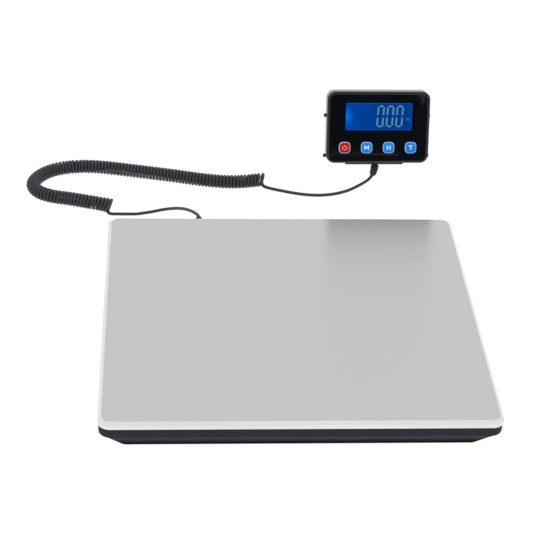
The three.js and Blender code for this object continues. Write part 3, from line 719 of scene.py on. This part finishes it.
def make_base():
    profile = [
        (19.5, 2, 6), (16.6, 3.2, 6.05), (15.8, 4, 6.3), (15.2, 4.3, 6.9), (0.95, 9.3, 25.7),
        (0.55, 9.4, 26.0), (0.18, 9.5, 26.15), (0, 9.5, 26.5), (0, 9.5, 33.3), (0.3, 9.2, 33.7),
        (2.7, 6.8, 33.7), (3, 6.5, 33.4), (3, 6.5, 26.9), (17.5, 3, 9),
    ]
    shell = skin("base_shell", [base_ring(*row) for row in profile])
    feet = [(sx * FOOT_X, sy * FOOT_Y, 0) for sx in SIDES for sy in SIDES]
    cuts = [lathe("cut", [(6.5, 5), (6.5, 10)], 40, at=foot) for foot in feet]
    cuts.append(lathe("cut", [(2.9, 132), (2.9, 141)], 24, "Y", at=(CORD_EXIT.x, 0, CORD_EXIT.z)))
    carve(shell, cuts)
    inside = [block("rib", (x - 1, x + 1), (-70, 70), (8.5, 16)) for x in (-40, 0, 40)]
    inside += [block("rib", (-58, 58), (y - 1, y + 1), (8.5, 16)) for y in (-50, 0, 50)]
    for sx in SIDES:
        for sy in SIDES:
            inside.append(lathe("column", [(5, 8.5), (5, 32.4)], 24, at=(sx * COLUMN_X, sy * COLUMN_Y, 0)))
        inside.append(lathe("column", [(2.5, 8.5), (2.5, 12.7)], 16, at=(-40 + sx * 18, 98 + sx * 8, 0)))
    shell = smooth(joined("base_shell", [shell, *inside]), 34)
    # painted light and shade: the slant's downward faces take its lit and shaded copy of the plastic
    wear(shell, BASE_PLASTIC_PAINTED_SHADE, BASE_SLANT_PAINTED_SHADE)
    paint(shell, 1, lambda centre, normal: centre.z < 26.2 and normal.z < -0.3)
    place(shell, PLATFORM, BASE, "housing_plastic", "base_housing")


def make_foot(name, sx, sy):
    profile = [
        (9.5, 0.5), (10, 0), (13.4, 0), (14.3, 0.2), (14.85, 0.7), (15, 1.3), (15, 2.7), (14.7, 3.4),
        (13.2, 5.1), (12.6, 5.4), (4.5, 5.4), (4.5, 12),
    ]
    foot = smooth(lathe(f"rubber_foot_{name}", profile, 48), 35)
    wear(foot, RUBBER)
    spot = PLATFORM @ Matrix.Translation((sx * FOOT_X, sy * FOOT_Y, 0))
    place(foot, spot, BASE, "black_rubber", f"foot_{name}")


def cross_recess(radius, top):
    half, heights = 0.3, (-0.9 + top, 1 + top)
    return [
        block("arm", (-radius, radius), (-half, half), heights),
        block("arm", (-half, half), (-radius, radius), heights),
    ]


def make_screw(name, shank, head, low, high, start, local, body, node):
    """Pan-head screw with a cross recess, standing up its own z."""
    mid = (low + high) / 2
    profile = [
        (shank * 0.4, start), (shank, start + 1), (shank, low), (head, low), (head, mid),
        (head * 0.86, high - 0.25), (head * 0.6, high), (0.05, high + 0.05),
    ]
    screw = lathe(name, profile, 28)
    carve(screw, cross_recess(head * 0.55, high))
    wear(smooth(screw, 35), PLATED)
    place(screw, local, body, "screw_steel", node)


def make_base_boot():
    """Ribbed boot with a groove that the tub's back wall sits in."""
    profile = [(3.3, 133), (3.3, 135.4), (2.5, 135.8), (2.5, 139.9), (3.1, 140), (3.3, 140.3), (3.3, 141.2)]
    start, end, ribs = 141.6, CORD_EXIT.y, 5
    pitch = (end - start) / ribs
    for k in range(ribs):
        y, r = start + k * pitch, 3.2 - 0.12 * k
        profile += [
            (r - 0.55, y), (r - 0.55, y + 0.3 * pitch), (r - 0.1, y + 0.38 * pitch),
            (r, y + 0.5 * pitch), (r, y + 0.85 * pitch), (r - 0.1, y + 0.95 * pitch),
        ]
    profile += [(2.3, end - 0.1), (1.9, end)]
    boot = smooth(lathe("base_boot", profile, 28, "Y", at=(CORD_EXIT.x, 0, CORD_EXIT.z)), 35)
    wear(boot, RUBBER)
    place(boot, PLATFORM, BASE, "black_rubber", "base_strain_relief")


def make_platform():
    make_tray()
    make_base()
    make_base_boot()
    corners = {"front_left": (-1, -1), "front_right": (1, -1), "rear_left": (-1, 1), "rear_right": (1, 1)}
    for name, (sx, sy) in corners.items():
        make_foot(name, sx, sy)
        local = PLATFORM @ Matrix.Translation((sx * COLUMN_X, sy * COLUMN_Y, 0))
        make_screw(f"pan_screw_{name}", 1.5, 3.2, 36, 38, 20.7, local, BASE, f"deck_screw_{name}")


make_platform()


# ---------------------------------------------------------------- display head
HEAD_W, HEAD_H, HEAD_RADIUS = 100, 70, 8
PANEL_W, PANEL_H, PANEL_Z = 94, 64.4, 34.5
KEY_SIZE, KEY_RADIUS, KEY_Z, KEY_PITCH = 11.1, 3.6, 15.3, 21.5
KEY_TOP = -0.66  # depth of a key's top, in front of the face
KEYS = {"power": -1.5, "mode": -0.5, "hold": 0.5, "tare": 1.5}
SCREWS = [(-43, 8), (-43, 62), (43, 8), (43, 62)]
BOOT_X, BOOT_Y = -2, 8.15


def head_ring(inset, y):
    """The head's outline, drawn in by an inset."""
    return face_ring(HEAD_W - 2 * inset, HEAD_H - 2 * inset, max(HEAD_RADIUS - inset, 1), y)


def recess_ring(grow, y):
    """The face sheet's outline, let out by some growth."""
    return face_ring(PANEL_W + 2 * grow, PANEL_H + 2 * grow, 5 + grow, y, z0=PANEL_Z)


def slab(name, x, z, w, h, radius, y0, y1, steps=6):
    """Rounded upright plate between two depths."""
    return skin(name, [face_ring(w, h, radius, y, x, z, steps) for y in (y0, y1)])


def boot_cut():
    """The hole in the head's underside that the boot's neck goes through."""
    return lathe("cut", [(2.7, -8), (2.7, 3.6)], 24, at=(BOOT_X, BOOT_Y, 0))


def make_front():
    outer = [(1.3, 0), (0.85, 0.03), (0.5, 0.14), (0.22, 0.36), (0.06, 0.68), (0, 1.1), (0, 7.7), (0.25, 8)]
    recess = [(-6, 3.1), (-6, 1.5), (0.3, 1.5), (0.3, 0.35), (0.38, 0.12), (0.55, 0)]
    rings = [head_ring(inset, y) for inset, y in outer]
    rings += [head_ring(2, 8), head_ring(2, 3.1)]
    rings += [recess_ring(grow, y) for grow, y in recess]
    front = smooth(carve(skin("front_shell", rings, loop=True), [boot_cut()]), 34)
    # painted light: the sides take the lighter copy of the housing plastic
    wear(front, HOUSING, HOUSING_SIDE_PAINTED_LIGHT)
    paint(front, 1, lambda centre, normal: centre.y > 0.3 and abs(normal.y) < 0.5)
    place(front, HEAD_FRAME, HEAD, "housing_plastic", "front_housing")


def prism(name, side_outline, x0, x1):
    """Extrudes (depth, height) points across the head."""
    return skin(name, [[(x, y, z) for y, z in side_outline] for x in (x0, x1)])


def foot_rail():
    """Strip under the battery box, cut level where it meets the surface."""
    front, back, top, half = 20.8, 27, 5, 28.5
    low_front, low_back = (y * math.tan(HEAD_TILT) - HEAD_RISE / math.cos(HEAD_TILT) for y in (front, back))
    return prism("rail", [(front, low_front), (back, low_back), (back, top), (front, top)], -half, half)


def ear(side):
    """One of the two cheeks that hold the leg's pin."""
    radius, points = 3.2, [(26, 23), (29.9, 23.8)]
    for degrees in range(-75, 90, 15):
        angle = math.radians(degrees)
        points.append((PIN_PLACE.y + radius * math.cos(angle), PIN_PLACE.z + radius * math.sin(angle)))
    points.append((26, 30.2))
    low = min(side * 25.3, side * 28.3)
    return prism("ear", points, low, low + 3)


def lug(side, low):
    """Small catch on the head's side."""
    rise = [
        (9.5, low + 0.5), (9.8, low), (12.7, low), (13, low + 0.4),
        (13, low + 2.8), (12.6, low + 3.2), (9.9, low + 3.2), (9.5, low + 2.8),
    ]
    x0, x1 = sorted((side * 49, side * 52))
    return prism("lug", rise, x0, x1)


def make_rear():
    skin_rows = [(0.25, 8.3), (0, 8.6), (0, 13.2), (0.1, 13.9), (0.4, 14.5), (0.95, 14.88), (1.7, 15)]
    shell = skin("rear_shell", [head_ring(inset, y) for inset, y in skin_rows])
    box_rows = [(0, 14), (0, 25.9), (0.15, 26.45), (0.55, 26.85), (1.1, 27)]
    battery_box = skin("box", [face_ring(57 - 2 * i, 63 - 2 * i, 3 - i / 2, y, 0, 34.5) for i, y in box_rows])
    added = [battery_box, foot_rail(), ear(-1), ear(1), *(lug(side, z) for side in SIDES for z in (4, 43.6))]
    carve(shell, added, "UNION")
    hollow = skin("cut", [face_ring(96, 66, 6, y) for y in (7, 13.4)])
    lower = block("cut", (-27, 27), (12, 25.2), (5, 28.9))
    carve(shell, [hollow, lower])
    floor_plate = block("floor", (-28, 28), (12.6, 14.2), (29, 65.5))
    carve(shell, [floor_plate], "UNION")
    cuts = [
        block("cut", (-26.9, 26.9), (14, 28), (30.5, 64)),
        block("cut", (-26.9, 26.9), (25.2, 28), (30.5, 67)),
        boot_cut(),
        lathe("cut", [(1.55, -30), (1.55, 30)], 24, "X", at=tuple(PIN_PLACE)),
    ]
    cuts += [lathe("cut", [(2.9, 13), (2.9, 16)], 28, "Y", at=(x, 0, z)) for x, z in SCREWS]
    cuts += [lathe("cut", [(1.5, 7), (1.5, 14)], 20, "Y", at=(x, 0, z)) for x, z in SCREWS]
    carve(shell, cuts)
    smooth(shell, 34)
    # painted light: the sides take the lighter copy of the housing plastic
    wear(shell, HOUSING, HOUSING_SIDE_PAINTED_LIGHT)
    paint(shell, 1, lambda centre, normal: centre.y < 14.6 and abs(normal.y) < 0.5)
    place(shell, HEAD_FRAME, HEAD, "housing_plastic", "rear_housing")


def make_overlay():
    rows = [(0, 1.2), (0, 0.35), (0.12, 0.22), (0.3, 0.2)]
    rings = [face_ring(PANEL_W - 2 * i, PANEL_H - 2 * i, 4.7 - i, y, 0, PANEL_Z) for i, y in rows]
    sheet = skin("face_sheet", rings)
    hole = KEY_SIZE + 0.7
    cuts = [slab("cut", WINDOW_X, WINDOW_Z, WINDOW_W, WINDOW_H, 1.2, -1, 3)]
    cuts += [slab("cut", k * KEY_PITCH, KEY_Z, hole, hole, KEY_RADIUS, -1, 3, 8) for k in KEYS.values()]
    smooth(carve(sheet, cuts), 30)
    wear(sheet, PANEL)
    place(sheet, HEAD_FRAME, HEAD, "panel_gloss", "panel_overlay")


def lettering(text, size, thickness):
    """Flat raised sign facing the user, its middle at the origin."""
    curve = bpy.data.curves.new(text, "FONT")
    curve.body = text
    curve.size = size
    curve.extrude = thickness / 2
    curve.align_x = "CENTER"
    curve.align_y = "CENTER"
    curve.resolution_u = 5
    source = bpy.data.objects.new("lettering", curve)
    bpy.context.scene.collection.objects.link(source)
    graph = bpy.context.evaluated_depsgraph_get()
    mesh = bpy.data.meshes.new_from_object(source.evaluated_get(graph))
    bpy.data.objects.remove(source)
    sign = bpy.data.objects.new("lettering", mesh)
    bpy.context.scene.collection.objects.link(sign)
    mesh.transform(Matrix.Rotation(math.pi / 2, 4, "X"))
    tidy_normals(sign)
    return sign


def ribbon(points, width, y0, y1):
    """A flat stroke of one width through (x, z) points."""
    left, right = [], []
    for k, (x, z) in enumerate(points):
        ax, az = points[max(k - 1, 0)]
        bx, bz = points[min(k + 1, len(points) - 1)]
        size = math.hypot(bx - ax, bz - az)
        nx, nz = -(bz - az) / size * width / 2, (bx - ax) / size * width / 2
        left.append((x + nx, z + nz))
        right.append((x - nx, z - nz))
    around = left + right[::-1]
    return skin("ribbon", [[(x, y, z) for x, z in around] for y in (y0, y1)])


SIGN_DEPTHS = (-0.04, 0.04)


def power_sign():
    """A ring open at its top, with a bar in the gap."""
    radius, drop, stroke = 2.1, -0.2, 0.45
    angles = [math.radians(degrees) for degrees in range(38, 323, 12)]
    arc = [(radius * math.sin(a), drop + radius * math.cos(a)) for a in angles]
    return joined("sign", [ribbon(line, stroke, *SIGN_DEPTHS) for line in (arc, [(0, 0.4), (0, 2.4)])])


# outlines of the capital letters M, H and T
SIGNS = {
    "mode": [
        (-2.3, -2.3), (-2.3, 2.3), (-1.5, 2.3), (0, -0.5), (1.5, 2.3), (2.3, 2.3), (2.3, -2.3),
        (1.65, -2.3), (1.65, 1.1), (0.3, -1.4), (-0.3, -1.4), (-1.65, 1.1), (-1.65, -2.3),
    ],
    "hold": [
        (-1.9, -2.3), (-1.9, 2.3), (-1.2, 2.3), (-1.2, 0.35), (1.2, 0.35), (1.2, 2.3),
        (1.9, 2.3), (1.9, -2.3), (1.2, -2.3), (1.2, -0.35), (-1.2, -0.35), (-1.2, -2.3),
    ],
    "tare": [
        (-1.9, 1.6), (-1.9, 2.3), (1.9, 2.3), (1.9, 1.6),
        (0.35, 1.6), (0.35, -2.3), (-0.35, -2.3), (-0.35, 1.6),
    ],
}


def key_sign(name):
    if name == "power":
        return power_sign()
    return skin("sign", [[(x, y, z) for x, z in SIGNS[name]] for y in SIGN_DEPTHS])


def on_key_rim(centre, _normal):
    """Whether a face of a key belongs to its pale rounded edge."""
    straight = max(abs(centre.x), abs(centre.z)) > KEY_SIZE / 2 - 0.67
    corner = math.hypot(centre.x, centre.z) > 5.6
    return centre.y < 0 and (straight or corner)


def make_key(name, place_in_row):
    rows = [
        (-0.95, 4.4), (-0.95, 3.6), (0, 3.6), (0, -0.1), (0.1, -0.34), (0.32, -0.5), (0.62, -0.56),
        (0.8, -0.5), (1.0, -0.5), (1.4, -0.58), (2.2, -0.64), (3.2, KEY_TOP),
    ]
    sizes = [(KEY_SIZE - 2 * inset, max(KEY_RADIUS - inset, 0.6), y) for inset, y in rows]
    rings = [face_ring(size, size, radius, y, 0, 0) for size, radius, y in sizes]
    cap = smooth(skin(f"key_cap_{name}", rings), 50)
    sign = key_sign(name)
    sign.data.transform(Matrix.Translation((0, KEY_TOP, 0)))
    red = name == "power"
    wear(cap, KEY_RED if red else KEY_BLUE, KEY_EDGE, GLYPH_PINK if red else GLYPH)
    paint(cap, 1, on_key_rim)
    key = merge_painted(cap, sign, 2)
    spot = HEAD_FRAME @ Matrix.Translation((place_in_row * KEY_PITCH, 0, KEY_Z))
    place(key, spot, f"{name}_key", "key_red" if red else "key_blue", f"key_{name}")


def segment(x0, z0, x1, z1, half=0.8, tip=0.6):
    """One bar of a digit between two points, with pointed ends."""
    dx, dz = x1 - x0, z1 - z0
    size = math.hypot(dx, dz)
    ux, uz = dx / size, dz / size
    nx, nz = -uz * half, ux * half
    return [
        (x0, z0), (x0 + ux * tip + nx, z0 + uz * tip + nz), (x1 - ux * tip + nx, z1 - uz * tip + nz),
        (x1, z1), (x1 - ux * tip - nx, z1 - uz * tip - nz), (x0 + ux * tip - nx, z0 + uz * tip - nz),
    ]


def zero_bars(left, low, w=5.4, h=19.6):
    """The six lit bars of a seven-segment zero."""
    gap = 0.55
    mid = low + h / 2
    bars = []
    for x in (left, left + w):
        bars.append(segment(x, low + gap, x, mid - 1.0))
        bars.append(segment(x, mid + 1.0, x, low + h - gap))
    for z in (low, low + h):
        bars.append(segment(left + gap, z, left + w - gap, z))
    return bars


def make_digits():
    """The reading 0.00 and its unit, leaning a little, on the display's glass."""
    lean = math.tan(math.radians(3.4))
    low, depths = 36.0, (1.44, 1.5)
    bars = []
    for left in (-1.3, 7.95, 17.2):
        bars += zero_bars(left, low)
    bars.append([(5.0, 35.5), (5.9, 35.5), (5.9, 36.4), (5.0, 36.4)])
    solids = []
    for bar in bars:
        shape = [(x + (z - low) * lean, z) for x, z in bar]
        solids.append(skin("bar", [[(x, y, z) for x, z in shape] for y in depths]))
    unit = lettering("kg", 3.4, 0.05)
    unit.data.transform(Matrix.Translation((28.6, 1.46, 43.2)))
    digits = joined("lcd_digits", [*solids, unit])
    wear(digits, SEGMENTS)
    place(digits, HEAD_FRAME, HEAD, "lcd_blue")


def make_head_boot():
    """Ribbed boot that comes out of the head's underside and bends forward with the cord."""
    route = [(-1.1, BOOT_Y, -1.4), (-1.2, 7.3, -4.4), (-1.8, 5.2, -6.6), (-3, 1.6, -8.5), (-4.2, -2, -9.9)]
    bend = spline(route, 12)
    down = Vector((0, 0, -1))
    neck = ((3.2, 3.6), (3.6, 3.4), (3.6, 2.3), (2.4, 2.3), (2.4, -0.3))
    stations = [(Vector((BOOT_X, BOOT_Y, z)), down, r) for r, z in neck]
    stations += [(bend[0] - Vector((0, 0, z)), down, r) for r, z in ((3.8, -1.1), (4.1, -0.9))]
    ribs, shape = 6, ((0, 0), (0.42, 0), (0.5, 0.15), (0.56, 0.75), (0.9, 0.75), (0.96, 0.15))
    count = 200
    along = evenly(bend, count)
    for k in range(ribs):
        for share, drop in shape:
            t = (k + share) / ribs
            point, heading = along[round(count * t)]
            stations.append((point, heading, 4.15 - 0.95 * t - drop))
    stations.append((along[-1][0], along[-1][1], 2.7))
    rings = []
    for point, heading, radius in stations:
        across = (Vector((1, 0, 0)) - heading * heading.x).normalized()
        up = heading.cross(across)
        rings.append([
            point + radius * (math.cos(a) * across + math.sin(a) * up)
            for a in (2 * math.pi * s / 24 for s in range(24))
        ])
    boot = smooth(skin("display_boot", rings), 38)
    wear(boot, RUBBER)
    place(boot, HEAD_FRAME, HEAD, "black_rubber", "display_strain_relief")


def make_battery(k):
    half, radius = 22.25, 5.25
    profile = [
        (4.6, -half), (5.1, -half + 0.12), (radius, -half + 0.5), (radius, half - 1.9),
        (5.05, half - 1.35), (4.4, half - 1.2), (1.9, half - 1.2), (1.9, half - 0.15), (1.7, half),
    ]
    cell = smooth(lathe(f"aaa_cell_{k + 1}", profile, 36, "X"), 35)
    wear(cell, BATTERY_SLEEVE, PLATED)
    paint(cell, 1, lambda c, n: abs(c.x) > half - 1.3)
    turn = Matrix.Rotation(0 if k % 2 else math.pi, 4, "Z")
    spot = HEAD_FRAME @ Matrix.Translation((0, 19.6, 47.25 + (k - 1) * 11.1)) @ turn
    place(cell, spot, HEAD, "battery_can", f"battery_{k + 1}")


def make_door():
    rows = [(0.1, 25.5), (0, 25.6), (0, 26.75), (0.08, 26.92), (0.25, 27)]
    rings = [face_ring(53.2 - 2 * i, 35.2 - 2 * i, max(0.8 - i, 0.3), y, 0, 48.4) for i, y in rows]
    door = skin("battery_cover", rings)
    grip = [(60 + 2.4 * row, 14 - 2 * abs(row)) for row in (-1, 0, 1)]
    carve(door, [slab("cut", 0, z, width, 1.2, 0.5, 26.4, 28) for z, width in grip])
    wear(smooth(door, 34), HOUSING)
    place(door, HEAD_FRAME, "battery_cover", "housing_plastic", "battery_door")


def make_leg():
    half, knuckle, length = 1.25, 2.6, 28.5
    meet = math.degrees(math.asin(half / knuckle))
    side = [(-half, -length + 0.5), (-half + 0.4, -length), (half - 0.4, -length), (half, -length + 0.5)]
    steps = 28
    for k in range(steps + 1):
        angle = math.radians(meet - 90 + (360 - 2 * meet) * k / steps)
        side.append((knuckle * math.cos(angle), knuckle * math.sin(angle)))
    leg = prism("leg_plate", side, -25, 25)
    carve(leg, [
        lathe("cut", [(1.6, -30), (1.6, 30)], 24, "X"),
        block("cut", (-19, 19), (0.65, 3), (-24.5, -6)),
        block("cut", (-30, -23.2), (-3, 3), (-30, -27.2)),
        block("cut", (23.2, 30), (-3, 3), (-30, -27.2)),
    ])
    bevel(leg, 0.22, 2, 40)
    wear(smooth(leg, 34), HOUSING)
    place(leg, LEG_FRAME, "rear_leg", "housing_plastic", "kickstand")


def make_head():
    make_front()
    make_rear()
    make_overlay()
    make_digits()
    make_head_boot()
    make_door()
    make_leg()
    for name, spot in KEYS.items():
        make_key(name, spot)
    for k in range(3):
        make_battery(k)
    backwards = Matrix.Rotation(-math.pi / 2, 4, "X")
    for k, (x, z) in enumerate(SCREWS):
        local = HEAD_FRAME @ Matrix.Translation((x, 0, z)) @ backwards
        make_screw(f"case_screw_{k + 1}", 1.1, 2.5, 13.3, 14.9, 4.6, local, HEAD, f"housing_screw_{k + 1}")


make_head()


# ---------------------------------------------------------------- the CAD pieces that stay
def dress_cad_nodes():
    for row in frame["record"]["subparts"]:
        node = frame["nodes"][row["node"]]
        node.data.materials.clear()
        node.data.materials.append(BY_SLOT[row["material_slot"]])


dress_cad_nodes()


# ---------------------------------------------------------------- studio
def stage_material(name, colour, emission):
    look = Look(name, 0.9, Specular_IOR_Level=0.0)
    slow = look.noise(look.mapped((0.8,) * 3), detail=1)
    look.colour(look.mix(slow, tuple(c * 0.99 for c in colour), colour))
    look.set(look.shader, Emission_Color=(1, 1, 1, 1), Emission_Strength=emission)
    return look.material


def make_floor():
    half, level = 6.0, -0.0002
    corners = [(-half, -half, level), (half, -half, level), (half, half, level), (-half, half, level)]
    floor = make("floor", corners, [(0, 1, 2, 3)])
    wear(floor, stage_material("floor_white", (0.08, 0.08, 0.08), 0.97))


def make_flag(name, centre, across, up, glow=0.0):
    """A dark card that only shows in reflections."""
    c, a, u = Vector(centre), Vector(across) / 2, Vector(up) / 2
    flag = make(name, [c - a - u, c + a - u, c + a + u, c - a + u], [(0, 1, 2, 3)])
    wear(flag, stage_material(f"{name}_card", (0.01, 0.01, 0.012), glow))
    flag.visible_camera = False
    flag.visible_diffuse = False
    flag.visible_shadow = False


def make_light(name, place_m, aim, size, power):
    data = bpy.data.lights.new(name, "AREA")
    data.shape = "SQUARE"
    data.size = size
    data.energy = power
    light = bpy.data.objects.new(name, data)
    bpy.context.scene.collection.objects.link(light)
    light.location = place_m
    ahead = Vector(aim) - Vector(place_m)
    light.rotation_euler = ahead.to_track_quat("-Z", "Y").to_euler()
    light.visible_glossy = False


def make_studio():
    world = bpy.data.worlds.new("studio")
    world.use_nodes = True
    background = world.node_tree.nodes["Background"]
    background.inputs["Color"].default_value = (0.985, 0.992, 1.0, 1)
    background.inputs["Strength"].default_value = 1.0
    bpy.context.scene.world = world
    bpy.context.scene.view_settings.view_transform = "Standard"
    make_floor()
    make_flag("front_flag", (0, -3.2, 0.45), (6, 0, 0), (0, 0, 1.1))
    # painted reflection: these two cards, seen only in reflections, stand in for the display that hangs in
    # the tray's reflection; the rear one glows faintly
    across, up = (0.1, 0, 0), (0, 0, 0.066)
    make_flag("rear_painted_reflection", PLATFORM @ Vector((104, 241, 86)), across, up, 0.27)
    make_flag("panel_painted_reflection", PLATFORM @ Vector((104, 242.5, 86)), across, up)
    make_light("front_softbox", (-0.3, -1.5, 2.4), (0, 0, 0), 1.6, 26)
    make_light("left_softbox", (-2.2, 0.6, 1.8), (0, 0, 0), 1.2, 14)


make_studio()
